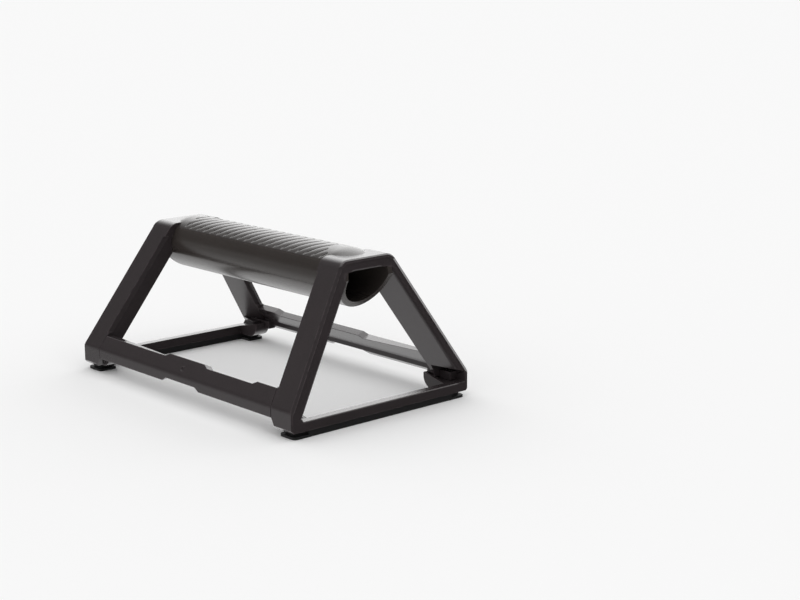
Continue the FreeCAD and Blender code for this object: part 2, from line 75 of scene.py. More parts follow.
class Part(Enum):
    """The CAD nodes that the pieces stand for."""

    RIGHT_FRAME = "end_frame_right"
    LEFT_FRAME = "end_frame_left"
    TUBE = "grip_core"
    COVER = "grip_cover"
    FRONT_RAIL = "front_rail"
    REAR_RAIL = "rear_rail"
    RIGHT_PAD = "right_base_pad"
    LEFT_PAD = "left_base_pad"
    GRIP_SCREWS = "grip_screws"
    RAIL_SCREWS = "rail_screws"


@dataclass(frozen=True)
class Value:
    """A value inside a node tree, with the arithmetic that adds its nodes."""

    tree: bpy.types.NodeTree
    socket: bpy.types.NodeSocket

    def math(self, operation: str, *others: "Value | float") -> "Value":
        """Adds a Math node with this value first.

        Args:
            operation: the node's operation.
            others: what its further inputs hold.

        Returns:
            The node's result.
        """
        node = self.tree.nodes.new("ShaderNodeMath")
        node.operation = operation
        for entry, value in zip(node.inputs, (self, *others)):
            feed(self.tree, value, entry)
        return Value(self.tree, node.outputs[0])

    def __add__(self, other: "Value | float") -> "Value":
        """The sum."""
        return self.math("ADD", other)

    def __sub__(self, other: "Value | float") -> "Value":
        """The difference."""
        return self.math("SUBTRACT", other)

    def __mul__(self, other: "Value | float") -> "Value":
        """The product."""
        return self.math("MULTIPLY", other)

    def __truediv__(self, other: "Value | float") -> "Value":
        """The quotient."""
        return self.math("DIVIDE", other)

    def __pow__(self, other: "Value | float") -> "Value":
        """The power."""
        return self.math("POWER", other)

    def __abs__(self) -> "Value":
        """The size without its sign."""
        return self.math("ABSOLUTE")

    def __gt__(self, other: "Value | float") -> "Value":
        """1 where this is the larger, else 0."""
        return self.math("GREATER_THAN", other)

    def __lt__(self, other: "Value | float") -> "Value":
        """1 where this is the smaller, else 0."""
        return self.math("LESS_THAN", other)

    def root(self) -> "Value":
        """The square root, of nothing below 0."""
        return self.math("MAXIMUM", 0.0).math("SQRT")

    def pick(self, on: "Value | float", off: "Value | float") -> "Value":
        """One of two values, by a switch of 1 or 0.

        Args:
            on: the value where this switch is 1.
            off: the value where it is 0.

        Returns:
            The chosen value.
        """
        node = self.tree.nodes.new("ShaderNodeMix")
        feed(self.tree, self, node.inputs[0])
        feed(self.tree, off, node.inputs[2])
        feed(self.tree, on, node.inputs[3])
        return Value(self.tree, node.outputs[0])

    def ramp(self, start: "Value | float", end: "Value | float") -> "Value":
        """Rises from 0 at start to 1 at end, easing in and out.

        Args:
            start: where the rise begins.
            end: where it is done.

        Returns:
            The rise, from 0 to 1.
        """
        node = self.tree.nodes.new("ShaderNodeMapRange")
        node.interpolation_type = "SMOOTHSTEP"
        for entry, value in zip(node.inputs, (self, start, end, 0.0, 1.0)):
            feed(self.tree, value, entry)
        return Value(self.tree, node.outputs[0])


def feed(tree: bpy.types.NodeTree, value: "Value | float", entry: bpy.types.NodeSocket) -> None:
    """Links a value to an input, or sets a plain number on it.

    Args:
        tree: the tree that both belong to.
        value: what the input takes.
        entry: the input.
    """
    if isinstance(value, Value):
        tree.links.new(value.socket, entry)
    else:
        entry.default_value = value


class ShaderGroups:
    """Shader node groups that the finishes share, each built once."""

    NOISE_SPAN: Span = (0.3, 0.7)

    @staticmethod
    def _new(name: str, inputs: dict[str, float], outputs: Sequence[str]) -> bpy.types.NodeTree:
        """Starts a group with float sockets.

        Args:
            name: the group's name.
            inputs: its inputs and their defaults.
            outputs: its outputs.

        Returns:
            The group's tree, with an input and an output node in it.
        """
        tree = bpy.data.node_groups.new(name, "ShaderNodeTree")
        for label, default in inputs.items():
            socket = tree.interface.new_socket(label, in_out="INPUT", socket_type="NodeSocketFloat")
            socket.default_value = default
        for label in outputs:
            tree.interface.new_socket(label, in_out="OUTPUT", socket_type="NodeSocketFloat")
        tree.nodes.new("NodeGroupInput")
        tree.nodes.new("NodeGroupOutput")
        return tree

    @classmethod
    def get(cls, name: str) -> bpy.types.NodeTree:
        """The group of that name, built on first use.

        Args:
            name: a method of this class that builds one.

        Returns:
            The group's tree.
        """
        return bpy.data.node_groups.get(name) or getattr(cls, name)()

    @classmethod
    def place(cls, tree: bpy.types.NodeTree, name: str, values: dict[str, float]) -> dict[str, Value]:
        """Places a group in a material.

        Args:
            tree: the material's tree.
            name: the group.
            values: what its inputs are set to.

        Returns:
            The group's outputs by name.
        """
        node = tree.nodes.new("ShaderNodeGroup")
        node.node_tree = cls.get(name)
        for label, value in values.items():
            node.inputs[label].default_value = value
        return {out.name: Value(tree, out) for out in node.outputs}

    @staticmethod
    def _noise(tree: bpy.types.NodeTree, scale: "Value | float", detail: float) -> Value:
        """Noise over the object.

        Args:
            tree: the tree that it goes in.
            scale: waves per metre.
            detail: how many finer layers it has.

        Returns:
            The noise, from 0 to 1.
        """
        place = tree.nodes.new("ShaderNodeTexCoord")
        noise = tree.nodes.new("ShaderNodeTexNoise")
        noise.inputs["Detail"].default_value = detail
        feed(tree, scale, noise.inputs["Scale"])
        tree.links.new(place.outputs["Object"], noise.inputs["Vector"])
        return Value(tree, noise.outputs["Fac"])

    @classmethod
    def moulded_grain(cls) -> bpy.types.NodeTree:
        """Fine eroded texture of a mould: small rounded grains of uneven height.

        Returns:
            The group, with the outputs Height and Speckle.
        """
        uneven_scale, detail = 0.31, 3.0
        grain_height, uneven_height = 0.6, 0.7
        tree = cls._new("moulded_grain", {"Scale": 2600.0}, ("Height", "Speckle"))
        entry, result = tree.nodes["Group Input"], tree.nodes["Group Output"]
        scale = Value(tree, entry.outputs["Scale"])
        place = tree.nodes.new("ShaderNodeTexCoord")
        cells = tree.nodes.new("ShaderNodeTexVoronoi")
        cells.feature = "SMOOTH_F1"
        tree.links.new(place.outputs["Object"], cells.inputs["Vector"])
        feed(tree, scale, cells.inputs["Scale"])
        grains = Value(tree, cells.outputs["Distance"])
        uneven = cls._noise(tree, scale * uneven_scale, detail)
        feed(tree, grains * grain_height + uneven * uneven_height, result.inputs["Height"])
        feed(tree, uneven.ramp(*cls.NOISE_SPAN), result.inputs["Speckle"])
        return tree

    @classmethod
    def moulding_tone(cls) -> bpy.types.NodeTree:
        """Slow change of tone over a moulding, as the plastic flowed.

        Returns:
            The group, with the output Tone.
        """
        slow_detail, fine_detail, fine_scale = 2.0, 4.0, 9.0
        slow_share, fine_share = 0.6, 0.4
        tree = cls._new("moulding_tone", {"Scale": 30.0}, ("Tone",))
        entry, result = tree.nodes["Group Input"], tree.nodes["Group Output"]
        scale = Value(tree, entry.outputs["Scale"])
        slow = cls._noise(tree, scale, slow_detail).ramp(*cls.NOISE_SPAN)
        fine = cls._noise(tree, scale * fine_scale, fine_detail)
        feed(tree, slow * slow_share + fine * fine_share, result.inputs["Tone"])
        return tree

    @classmethod
    def rubbed_and_highlit_edge(cls) -> bpy.types.NodeTree:
        """Mask of the edges that hands and the floor rub, broken up by noise; the finishes lighten the
        colour there, partly as wear and partly as a painted edge highlight.

        Returns:
            The group, with one output: the mask of rubbed edges, which also carries the painted edge
                highlight.
        """
        bent_span = (0.995, 0.92)
        broken_scale, broken_detail, broken_span = 240.0, 3.0, (0.32, 0.62)
        tree = cls._new("rubbed_and_highlit_edge", {"Radius": 0.0010}, ("Rub And Highlight",))
        entry, result = tree.nodes["Group Input"], tree.nodes["Group Output"]
        bevel = tree.nodes.new("ShaderNodeBevel")
        bevel.samples = 4
        tree.links.new(entry.outputs["Radius"], bevel.inputs["Radius"])
        surface = tree.nodes.new("ShaderNodeNewGeometry")
        dot = tree.nodes.new("ShaderNodeVectorMath")
        dot.operation = "DOT_PRODUCT"
        tree.links.new(bevel.outputs["Normal"], dot.inputs[0])
        tree.links.new(surface.outputs["Normal"], dot.inputs[1])
        bent = Value(tree, dot.outputs["Value"]).ramp(*bent_span)
        broken = cls._noise(tree, broken_scale, broken_detail).ramp(*broken_span)
        feed(tree, bent * broken, result.inputs["Rub And Highlight"])
        return tree


@dataclass(frozen=True)
class PlasticFinish:
    """A moulded plastic or rubber: colour, gloss, grain, and rubbed edges whose lighter colour is partly
    wear and partly a painted highlight.
    """

    name: str
    colour: Colour
    roughness: float
    specular: float = 0.5
    grain_scale: float = 2600.0
    grain_depth: float = 0.012
    tone_share: float = 0.12
    tone_scale: float = 30.0
    # How much the rubbed edges lighten the colour: partly wear, partly a painted edge highlight.
    rub_and_highlight_light: float = 0.35
    rub_polish: float = 0.10
    rub_radius: float = 0.0010
    speckle_share: float = 0.5
    rough_share: float = 0.05
    bump_strength: float = 0.6

    def material(self) -> bpy.types.Material:
        """Builds the material, or finds it where it is built already.

        Returns:
            The material.
        """
        found = bpy.data.materials.get(self.name)
        if found:
            return found
        made = bpy.data.materials.new(self.name)
        made.use_nodes = True
        tree = made.node_tree
        shader = tree.nodes["Principled BSDF"]
        shader.inputs["Specular IOR Level"].default_value = self.specular
        grain = ShaderGroups.place(tree, "moulded_grain", {"Scale": self.grain_scale})
        tone = ShaderGroups.place(tree, "moulding_tone", {"Scale": self.tone_scale})
        rub_and_highlight = ShaderGroups.place(tree, "rubbed_and_highlit_edge", {"Radius": self.rub_radius})
        speckle = grain["Speckle"] - NOISE_MIDDLE
        level = (tone["Tone"] - NOISE_MIDDLE) * self.tone_share + 1.0
        level = level + speckle * (self.speckle_share * self.tone_share)
        # Lighter colour along the edges: partly rubbed wear, partly a painted highlight where rounded edges
        # catch the light.
        level = level + rub_and_highlight["Rub And Highlight"] * self.rub_and_highlight_light
        feed(tree, self._tinted(tree, level), shader.inputs["Base Color"])
        rough = speckle * self.rough_share + self.roughness
        feed(tree, rough - rub_and_highlight["Rub And Highlight"] * self.rub_polish, shader.inputs["Roughness"])
        bump = tree.nodes.new("ShaderNodeBump")
        bump.inputs["Strength"].default_value = self.bump_strength
        bump.inputs["Distance"].default_value = self.grain_depth * MM
        feed(tree, grain["Height"], bump.inputs["Height"])
        tree.links.new(bump.outputs["Normal"], shader.inputs["Normal"])
        return made

    def _tinted(self, tree: bpy.types.NodeTree, level: Value) -> Value:
        """The finish's colour, lighter or darker by a level.

        Args:
            tree: the material's tree.
            level: 1 for the colour as it is written.

        Returns:
            The colour.
        """
        scaled = tree.nodes.new("ShaderNodeVectorMath")
        scaled.operation = "SCALE"
        scaled.inputs[0].default_value = self.colour
        feed(tree, level, scaled.inputs["Scale"])
        return Value(tree, scaled.outputs["Vector"])


@dataclass(frozen=True)
class SteelFinish:
    """Zinc-plated screw steel."""

    name: str
    colour: Colour
    smoothest: float
    tone_scale: float = 900.0
    tone_share: float = 0.25

    def material(self) -> bpy.types.Material:
        """Builds the material, or finds it where it is built already.

        Returns:
            The material.
        """
        found = bpy.data.materials.get(self.name)
        if found:
            return found
        made = bpy.data.materials.new(self.name)
        made.use_nodes = True
        tree = made.node_tree
        shader = tree.nodes["Principled BSDF"]
        shader.inputs["Metallic"].default_value = 1.0
        shader.inputs["Base Color"].default_value = (*self.colour, 1.0)
        tone = ShaderGroups.place(tree, "moulding_tone", {"Scale": self.tone_scale})
        feed(tree, tone["Tone"] * self.tone_share + self.smoothest, shader.inputs["Roughness"])
        return made


# The frame's strong edge lightening is mostly a painted edge highlight, with some rubbed wear.
FRAME_FINISH = PlasticFinish("charcoal_frame", (0.036, 0.0295, 0.031), 0.24, rub_and_highlight_light=1.1)
TUBE_FINISH = PlasticFinish("charcoal_tube", (0.038, 0.032, 0.029), 0.22, specular=0.6)
COVER_FINISH = PlasticFinish("charcoal_cover", (0.037, 0.032, 0.030), 0.25, rub_and_highlight_light=0.15)
PAD_FINISH = PlasticFinish(
    "black_rubber", (0.012, 0.012, 0.0125), 0.72, specular=0.35, grain_scale=1500.0, grain_depth=0.08
)
SCREW_FINISH = SteelFinish("zinc_screw", (0.62, 0.62, 0.60), 0.22)

# Sections cut along the legs, in mm: insets from a frame's outer end, and depths from the leg's outer face.
REAR_WINDOW_SIDE = (
    (-1.0, 4.2), (0.6, 4.7), (0.9, 5.1), (1.4, 5.8), (2.2, 6.5), (3.4, 7.2), (20.6, 13.5), (20.6, 17.0),
    (-1.0, 17.0),
)
FRONT_WINDOW_SIDE = ((-1.0, 10.6), (1.2, 10.2), (1.9, 9.9), (20.6, 5.4), (20.6, 17.0), (-1.0, 17.0))
OUTER_SLOPE = ((1.6, -1.0), (-0.5, 3.2), (-1.2, 3.2), (-1.2, -1.0))
INNER_SLOPE = ((18.1, -1.0), (20.5, 3.9), (21.5, 3.9), (21.5, -1.0))
INNER_STEP = ((19.2, 2.9), (20.6, 2.9), (20.6, 6.5), (19.2, 6.5))
# How far above the bend, along the leg, the inner cuts start and the outer slope ends.
ABOVE_RAIL = 10.6
OUTER_SLOPE_END = 80.0

GRIP_SCREW_SEAT = 92.4
GRIP_SCREW_PLACES = ((-85.0, 0.0), (85.0, 0.0))
RAIL_SCREW_SEAT = 7.2
RAIL_SCREW_PLACES = ((-103.0, -68.0), (-103.0, 68.0), (103.0, -68.0), (103.0, 68.0))


def place_piece(piece: bpy.types.Object, slot: Slot, *stands_for: Part) -> bpy.types.Object:
    """Attaches a finished piece to the root and hides the CAD nodes that it stands for.

    Args:
        piece: the piece, at the origin.
        slot: the slot for its finish; not used.
        stands_for: the CAD nodes that it replaces.

    Returns:
        The piece.
    """
    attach(piece, ROOT)
    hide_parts(*[part.value for part in stands_for])
    log.info("%s: %d faces", piece.name, len(piece.data.polygons))
    return piece


def show_mesh(name: str, mesh: bpy.types.Mesh) -> bpy.types.Object:
    """Makes an object of a mesh and shows it.

    Args:
        name: the object's name.
        mesh: its mesh.

    Returns:
        The object.
    """
    made = bpy.data.objects.new(name, mesh)
    bpy.context.scene.collection.objects.link(made)
    return made


def settle(piece: bpy.types.Object) -> None:
    """Turns what a piece's modifiers make into its plain mesh, and removes them.

    Args:
        piece: the object.
    """
    bpy.context.view_layer.update()
    evaluated = piece.evaluated_get(bpy.context.evaluated_depsgraph_get())
    mesh = bpy.data.meshes.new_from_object(evaluated)
    piece.modifiers.clear()
    piece.data = mesh
    mesh.name = piece.name


@dataclass(frozen=True)
class LegCut:
    """A cut of one section along a leg, in mm: side is 1 for the rear leg and -1 for the front one."""

    side: int
    outline: FlatPoints
    turn: int = 1
    low_rise: float = -2.2
    high_rise: float = 75.0
    outer_x: float = 115.0
    bend_z: float = BEND_Z
    half_depth: float = HALF_DEPTH
    lean: float = 0.1775
    upright: float = 0.9841
    spread: float = 0.6303
    across: float = 1.182

    def cut(self, piece: bpy.types.Object) -> None:
        """Takes the section out of a frame.

        Args:
            piece: the frame's object, whose mesh is welded.
        """
        cutter = show_mesh("leg_cut", self._mesh())
        modifier = piece.modifiers.new("leg_cut", "BOOLEAN")
        modifier.operation = "DIFFERENCE"
        modifier.solver = "EXACT"
        modifier.object = cutter
        settle(piece)
        mesh = cutter.data
        bpy.data.objects.remove(cutter)
        bpy.data.meshes.remove(mesh)

    def _mesh(self) -> bpy.types.Mesh:
        """Builds the closed prism that is cut away.

        Returns:
            Its mesh, in the shared frame.
        """
        shape = bmesh.new()
        rings = []
        for rise in (self.low_rise, self.high_rise):
            rings.append([shape.verts.new(self._place(rise, *corner)) for corner in self.outline])
        count = len(self.outline)
        for i in range(count):
            j = (i + 1) % count
            shape.faces.new((rings[0][i], rings[0][j], rings[1][j], rings[1][i]))
        for ring in rings:
            shape.faces.new(ring)
        bmesh.ops.recalc_face_normals(shape, faces=shape.faces)
        mesh = bpy.data.meshes.new("leg_cut")
        shape.to_mesh(mesh)
        shape.free()
        return mesh

    def _place(self, rise: float, inset: float, thickness: float) -> Point:
        """A point of the leg.

        Args:
            rise: up the leaning leg, from the bend.
            inset: from the frame's outer end.
            thickness: from the leg's outer face.

        Returns:
            Its place in metres.
        """
        x = self.outer_x - inset - rise * self.lean
        y = self.side * (self.half_depth - self.spread * rise - self.across * thickness)
        z = self.bend_z + rise * self.upright
        return x * self.turn * MM, y * self.turn * MM, z * MM


def leg_cuts(turn: int) -> tuple[LegCut, ...]:
    """The cuts of a frame's two legs.

    Args:
        turn: 1 for the right frame, -1 for the left one, which is the same moulding turned round.

    Returns:
        The window sides, the sloped edges of both ends and the step at the inner end.
    """
    cuts = [LegCut(1, REAR_WINDOW_SIDE, turn), LegCut(-1, FRONT_WINDOW_SIDE, turn)]
    for side in (1, -1):
        cuts.append(LegCut(side, OUTER_SLOPE, turn, high_rise=OUTER_SLOPE_END))
        cuts.append(LegCut(side, INNER_SLOPE, turn, low_rise=ABOVE_RAIL))
    cuts.append(LegCut(-1, INNER_STEP, turn, low_rise=ABOVE_RAIL))
    return tuple(cuts)


@dataclass(frozen=True)
class MouldedShell:
    """A CAD moulding with its flat areas joined and its sharp edges rounded."""

    part: Part
    slot: Slot
    finish: PlasticFinish
    edge_mm: float
    segments: int = 3
    sharp_deg: float = 24.0
    weld_mm: float = 0.002
    flat_deg: float = 0.4

    def build(self) -> bpy.types.Object:
        """Rounds a merged copy of the CAD mesh, once it has its finer forms.

        Returns:
            The dressed piece, which stands for the node.
        """
        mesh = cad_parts[self.part.value].data.copy()
        self._merge(mesh)
        piece = show_mesh(self.part.value + "_moulding", mesh)
        self._refine(piece)
        self._merge(piece.data)
        bevel = piece.modifiers.new("edges", "BEVEL")
        bevel.width = self.edge_mm * MM
        bevel.segments = self.segments
        bevel.limit_method = "ANGLE"
        bevel.angle_limit = math.radians(self.sharp_deg)
        bevel.use_clamp_overlap = False
        bevel.miter_outer = "MITER_ARC"
        settle(piece)
        self._keep_inside(piece.data)
        weighted = piece.modifiers.new("shading", "WEIGHTED_NORMAL")
        weighted.mode = "FACE_AREA_WITH_ANGLE"
        weighted.keep_sharp = False
        settle(piece)
        piece.data.materials.clear()
        piece.data.materials.append(self.finish.material())
        return place_piece(piece, self.slot, self.part)

    def _refine(self, piece: bpy.types.Object) -> None:
        """Gives the copy forms that its solid lacks: none, unless a moulding has its own."""

    def _keep_inside(self, mesh: bpy.types.Mesh) -> None:
        """Keeps a rounded mesh inside its node's box.

        Args:
            mesh: the mesh, which is changed.
        """
        low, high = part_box(self.part.value)
        shape = bmesh.new()
        shape.from_mesh(mesh)
        for vertex in shape.verts:
            vertex.co = [min(max(at, least), most) for at, least, most in zip(vertex.co, low, high)]
        shape.to_mesh(mesh)
        shape.free()

    def _merge(self, mesh: bpy.types.Mesh) -> None:
        """Welds a mesh and makes each flat area one face.

        Args:
            mesh: the mesh, which is changed.
        """
        shape = bmesh.new()
        shape.from_mesh(mesh)
        bmesh.ops.remove_doubles(shape, verts=shape.verts, dist=self.weld_mm * MM)
        bmesh.ops.dissolve_limit(
            shape, angle_limit=math.radians(self.flat_deg), verts=shape.verts[:], edges=shape.edges[:]
        )
        for face in shape.faces:
            face.smooth = True
        shape.to_mesh(mesh)
        shape.free()


@dataclass(frozen=True)
class EndFrame(MouldedShell):
    """An end frame, whose legs are cut along their edges."""

    turn: int = 1

    def _refine(self, piece: bpy.types.Object) -> None:
        """Cuts the legs.

        Args:
            piece: the frame's object.
        """
        for cut in leg_cuts(self.turn):
            cut.cut(piece)


@dataclass(frozen=True)
class SideRail(MouldedShell):
    """A side rail, whose top falls away inwards, except on the plain stretch at one end."""

    turn: int = 1
    top_low: float = 25.6
    foot_y: float = HALF_DEPTH
    bend_z: float = BEND_Z
    slope: float = 0.6404
    wall: float = 2.0
    fall: float = 2.4
    fall_start: float = -26.0

    def _refine(self, piece: bpy.types.Object) -> None:
        """Lowers the inner edge of the top.

        Args:
            piece: the rail's object.
        """
        for vertex in piece.data.vertices:
            x, y, z = (at / MM for at in vertex.co)
            outer_y = self.foot_y - self.slope * (z - self.bend_z)
            if z > self.top_low and abs(y) < outer_y - self.wall and x * self.turn > self.fall_start:
                vertex.co.z -= self.fall * MM


class GeometryTree:
    """A Geometry Nodes tree whose sizes are named inputs, run once into a plain mesh."""

    def __init__(self, name: str, sizes: dict[str, float]) -> None:
        """Starts the tree.

        Args:
            name: the tree's name.
            sizes: its number inputs and their values, in millimetres where they are lengths.
        """
        self.sizes = sizes
        self.tree = bpy.data.node_groups.new(name, "GeometryNodeTree")
        sockets = self.tree.interface
        sockets.new_socket("Geometry", in_out="INPUT", socket_type="NodeSocketGeometry")
        for label in sizes:
            sockets.new_socket(label, in_out="INPUT", socket_type="NodeSocketFloat")
        sockets.new_socket("Material", in_out="INPUT", socket_type="NodeSocketMaterial")
        sockets.new_socket("Geometry", in_out="OUTPUT", socket_type="NodeSocketGeometry")
        self.entry = self.tree.nodes.new("NodeGroupInput")
        self.result = self.tree.nodes.new("NodeGroupOutput")

    def size(self, label: str) -> Value:
        """The value of a named input."""
        return Value(self.tree, self.entry.outputs[label])

    def add(self, kind: str, inputs: dict[str, Any], **settings: Any) -> bpy.types.Node:
        """Adds a node.

        Args:
            kind: the node's type, without its prefix for geometry.
            inputs: what its inputs hold, by name.
            settings: its own options.

        Returns:
            The node.
        """
        node = self.tree.nodes.new(kind if kind.startswith("Shader") else "GeometryNode" + kind)
        for option, choice in settings.items():
            setattr(node, option, choice)
        for label, value in inputs.items():
            feed(self.tree, value, node.inputs[label])
        return node

    def first(self, kind: str, inputs: dict[str, Any], **settings: Any) -> Value:
        """Adds a node and gives its first output."""
        return Value(self.tree, self.add(kind, inputs, **settings).outputs[0])

    def vector(self, x: "Value | float", y: "Value | float", z: "Value | float") -> Value:
        """A vector of three values."""
        return self.first("ShaderNodeCombineXYZ", {"X": x, "Y": y, "Z": z})

    def build(self, name: str, shape: Value, finish: "PlasticFinish | SteelFinish",
              places: Sequence[Point] = ()) -> bpy.types.Object:
        """Ends the tree, runs it and keeps the result as a plain mesh.

        Args:
            name: the object's name.
            shape: the geometry that the tree makes, in millimetres.
            finish: what it is made of.
            places: the points that the tree starts from, in millimetres.

        Returns:
            The object, with no modifier left on it.
        """
        metres = self.first("Transform", {"Geometry": shape, "Scale": (MM, MM, MM)})
        real = self.first("RealizeInstances", {"Geometry": metres})
        dressed = self.first("SetMaterial", {"Geometry": real, "Material": self.size("Material")})
        feed(self.tree, dressed, self.result.inputs["Geometry"])
        mesh = bpy.data.meshes.new(name)
        mesh.from_pydata(list(places), [], [])
        piece = show_mesh(name, mesh)
        modifier = piece.modifiers.new("shape", "NODES")
        modifier.node_group = self.tree
        values = {**self.sizes, "Material": finish.material()}
        for socket in self.tree.interface.items_tree:
            if socket.in_out == "INPUT" and socket.name in values:
                modifier[socket.identifier] = values[socket.name]
        settle(piece)
        return piece


@dataclass(frozen=True)
class GripCover:
    """The ribbed crown on the grip: a rounded strip with swept grooves and two smooth domed ends."""

    crown_radius: float = 25.7
    crown_axis: float = 78.0
    half_width: float = 17.2
    seat_radius: float = 23.1
    flat_top: float = 100.3
    end_x: float = 79.9
    lean: float = 0.1804
    dome_centre: float = 79.0
    groove_pitch: float = 7.7
    groove_first: float = -69.9
    groove_last: float = 20.0
    groove_width: float = 1.5
    groove_depth: float = 0.8
    groove_sweep: float = 0.93
    apex_radius: float = 3.6
    rib_round: float = 0.32
    ribbed_start: float = -73.0
    smooth_centre: float = 83.5
    smooth_radius: float = 14.0
    fade_start: float = 13.5
    fade_end: float = 16.8
    run_out: float = 0.8
    half_columns: int = 300
    dome_columns: int = 24
    half_rows: int = 40
    seat_rows: int = 10
    weld: float = 0.005
    sharp_deg: float = 55.0

    def build(self) -> bpy.types.Object:
        """Maps a flat grid round the cover's section and along its length.

        Returns:
            The dressed cover, which stands for its node.
        """
        sizes = {
            "Crown Radius": self.crown_radius,
            "Crown Axis": self.crown_axis,
            "Half Width": self.half_width,
            "Seat Radius": self.seat_radius,
            "Flat Top": self.flat_top,
            "End": self.end_x,
            "Lean": self.lean,
            "Dome Centre": self.dome_centre,
            "Groove Pitch": self.groove_pitch,
            "First Groove": self.groove_first,
            "Last Groove": self.groove_last,
            "Groove Width": self.groove_width,
            "Groove Depth": self.groove_depth,
            "Groove Sweep": self.groove_sweep,
            "Apex Radius": self.apex_radius,
            "Rib Round": self.rib_round,
            "Ribbed Start": self.ribbed_start,
            "Smooth Centre": self.smooth_centre,
            "Smooth Radius": self.smooth_radius,
            "Fade Start": self.fade_start,
            "Fade End": self.fade_end,
            "Run Out": self.run_out,
        }
        net = GeometryTree("ribbed_cover", sizes)
        columns = 2 * (self.half_columns + self.dome_columns) + 1
        rows = 2 * self.half_rows + self.seat_rows + 3
        grid = net.first("MeshGrid", {
            "Size X": columns - 1.0, "Size Y": rows - 1.0, "Vertices X": columns, "Vertices Y": rows,
        })
        place = net.add("ShaderNodeSeparateXYZ", {"Vector": net.first("InputPosition", {})})
        column, row = (Value(net.tree, out) for out in place.outputs[:2])
        x, half, domed = self._along(net, column)
        across, seated = self._across(row + (rows - 1) / 2)
        y = (across * net.size("Half Width")).math("MINIMUM", half).math("MAXIMUM", half * -1.0)
        z = self._height(net, x, y, domed, seated)
        drop = (net.size("Flat Top") - z).math("MAXIMUM", 0.0)
        at_end = (abs(column) > self.half_columns - 0.5) * (abs(column) < self.half_columns + 0.5)
        x = x + column.math("SIGN") * drop * net.size("Lean") * at_end
        formed = net.first("SetPosition", {"Geometry": grid, "Position": net.vector(x, y, z)})
        closed = net.first("MergeByDistance", {"Geometry": formed, "Distance": self.weld})
        bent = net.first("InputMeshEdgeAngle", {}) > math.radians(self.sharp_deg)
        closed = net.first("SetShadeSmooth", {"Geometry": closed, "Shade Smooth": True}, domain="FACE")
        creased = net.first(
            "StoreNamedAttribute", {"Geometry": closed, "Name": "sharp_edge", "Value": bent},
            data_type="BOOLEAN", domain="EDGE",
        )
        piece = net.build("grip_cover_ribbed", creased, COVER_FINISH)
        return place_piece(piece, Slot.COVER, Part.COVER)

    def _along(self, net: GeometryTree, column: Value) -> tuple[Value, Value, Value]:
        """Places a column of the grid along the grip.

        Args:
            net: the tree.
            column: steps from the middle column.

        Returns:
            X, the section's half-width there, and 1 in a domed end.
        """
        domed = abs(column) > self.half_columns + 0.5
        flat_rise = net.size("Flat Top") - net.size("Crown Axis")
        dome_radius = (net.size("Crown Radius") ** 2.0 - flat_rise ** 2.0).root()
        start = ((net.size("End") - net.size("Dome Centre")) / dome_radius).math("ARCSINE")
        share = (abs(column) - (self.half_columns + 1)) / (self.dome_columns - 1)
        turn = start + (start * -1.0 + math.pi / 2) * share
        dome_x = net.size("Dome Centre") + dome_radius * turn.math("SINE")
        plain_x = abs(column) * net.size("End") / self.half_columns
        x = domed.pick(dome_x, plain_x) * column.math("SIGN")
        half = domed.pick(dome_radius * turn.math("COSINE"), net.size("Half Width"))
        return x, half, domed

    def _across(self, row: Value) -> tuple[Value, Value]:
        """Places a row of the grid round the section: over the top and back along the seat.

        Args:
            row: the row's number.

        Returns:
            The place across the cover from -1 to 1, and 1 on the seat.
        """
        last_top = 2 * self.half_rows
        last_seat = last_top + 1 + self.seat_rows
        over = row / self.half_rows - 1.0
        back = (row - (last_top + 1)) * (-2.0 / self.seat_rows) + 1.0
        closing = row > last_seat + 0.5
        seated = (row > last_top + 0.5) * (row < last_seat + 0.5)
        return seated.pick(back, closing.pick(-1.0, over)), seated

    def _height(self, net: GeometryTree, x: Value, y: Value, domed: Value, seated: Value) -> Value:
        """Height of a point of the cover.

        Args:
            net: the tree.
            x: its place along the grip.
            y: its place across it.
            domed: 1 in a domed end.
            seated: 1 on the seat.

        Returns:
            Z.
        """
        past = (abs(x) - net.size("Dome Centre")).math("MAXIMUM", 0.0)
        crown = (net.size("Crown Radius") ** 2.0 - y * y - past * past).root()
        seat = (net.size("Seat Radius") ** 2.0 - y * y).root()
        top = net.size("Crown Axis") + crown - self._groove(net, x, y)
        bottom = domed.pick(net.size("Flat Top"), net.size("Crown Axis") + seat)
        return seated.pick(bottom, top)

    def _groove(self, net: GeometryTree, x: Value, y: Value) -> Value:
        """How far the ribs and grooves lie below the crown.

        Args:
            net: the tree.
            x: a place along the grip.
            y: and across it.

        Returns:
            The depth there.
        """
        apex = net.size("Apex Radius")
        swept = y * net.size("Groove Sweep")
        arm = (apex * apex + swept * swept).root()
        steps = (x + arm - apex - net.size("First Groove")) / net.size("Groove Pitch")
        nearest = steps.math("ROUND").math("MAXIMUM", 0.0).math("MINIMUM", net.size("Last Groove"))
        slant = swept * net.size("Groove Sweep") / arm
        away = abs(steps - nearest) * net.size("Groove Pitch") / (slant * slant + 1.0).root()
        groove = away.ramp(net.size("Groove Width") * 0.5, 0.0) * net.size("Groove Depth")
        rib = (abs(steps - nearest) * -2.0 + 1.0).math("MAXIMUM", 0.0) ** 2.0
        ribbed = (x - net.size("Ribbed Start")).ramp(0.0, net.size("Run Out"))
        side = abs(y).ramp(net.size("Fade End"), net.size("Fade Start"))
        off = x - net.size("Smooth Centre")
        reach = (off * off + y * y).root() - net.size("Smooth Radius")
        field = ribbed * side * reach.ramp(0.0, net.size("Run Out"))
        return (groove + rib * net.size("Rib Round")) * field


